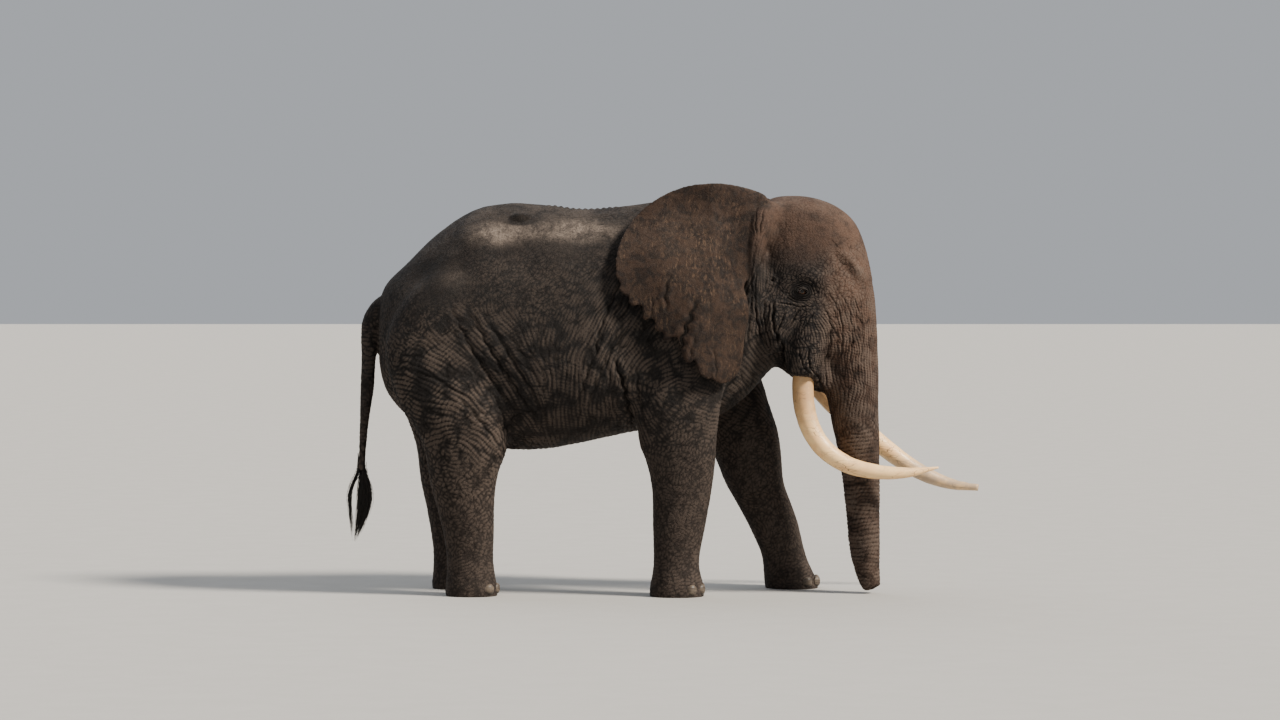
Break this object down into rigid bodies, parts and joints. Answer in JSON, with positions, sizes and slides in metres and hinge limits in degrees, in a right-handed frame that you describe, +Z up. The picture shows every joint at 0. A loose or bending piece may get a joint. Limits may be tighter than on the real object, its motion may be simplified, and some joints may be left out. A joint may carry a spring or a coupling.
{
  "type": "african savanna elephant",
  "caption": "Life-size savanna elephant bull standing still in a walking stance, with torn ears held to the neck, hanging trunk, long curved tusks and flat soles.",
  "frame": {"origin": "on the floor under the middle of the whole animal's box", "axes": "+X the way the animal faces, +Y its left side, +Z up"},
  "size_m": [5.2918, 1.5959, 3.3635],
  "materials": {
    "hide": "matt, dusty, deeply wrinkled grey-brown skin",
    "ivory": "satin cream ivory, stained brown near the root and worn at the tip",
    "eye": "wet dark brown eye",
    "nail": "dull horn, scuffed with dust",
    "hair": "coarse dark hair of the tail"
  },
  "bodies": {
    "root": {"barrel": "hide", "chest": "hide", "ear_left": "hide", "ear_right": "hide", "eye_left": "eye", "eye_right": "eye", "eyelids_left": "hide", "eyelids_right": "hide", "forefoot_left": "hide", "forefoot_right": "hide", "foreleg_left_lower": "hide", "foreleg_left_upper": "hide", "foreleg_right_lower": "hide", "foreleg_right_upper": "hide", "head": "hide", "hindfoot_left": "hide", "hindfoot_right": "hide", "hindleg_left_lower": "hide", "hindleg_left_upper": "hide", "hindleg_right_lower": "hide", "hindleg_right_upper": "hide", "hindquarters": "hide", "lower_jaw": "hide", "nail_forefoot_left_1": "nail", "nail_forefoot_left_2": "nail", "nail_forefoot_left_3": "nail", "nail_forefoot_left_4": "nail", "nail_forefoot_right_1": "nail", "nail_forefoot_right_2": "nail", "nail_forefoot_right_3": "nail", "nail_forefoot_right_4": "nail", "nail_hindfoot_left_1": "nail", "nail_hindfoot_left_2": "nail", "nail_hindfoot_left_3": "nail", "nail_hindfoot_right_1": "nail", "nail_hindfoot_right_2": "nail", "nail_hindfoot_right_3": "nail", "neck": "hide", "tail_brush": "hair", "tail_lower": "hide", "tail_upper": "hide", "trunk_lower": "hide", "trunk_middle": "hide", "trunk_tip": "hide", "trunk_upper": "hide", "tusk_left": "ivory", "tusk_right": "ivory"}
  },
  "joints": []
}
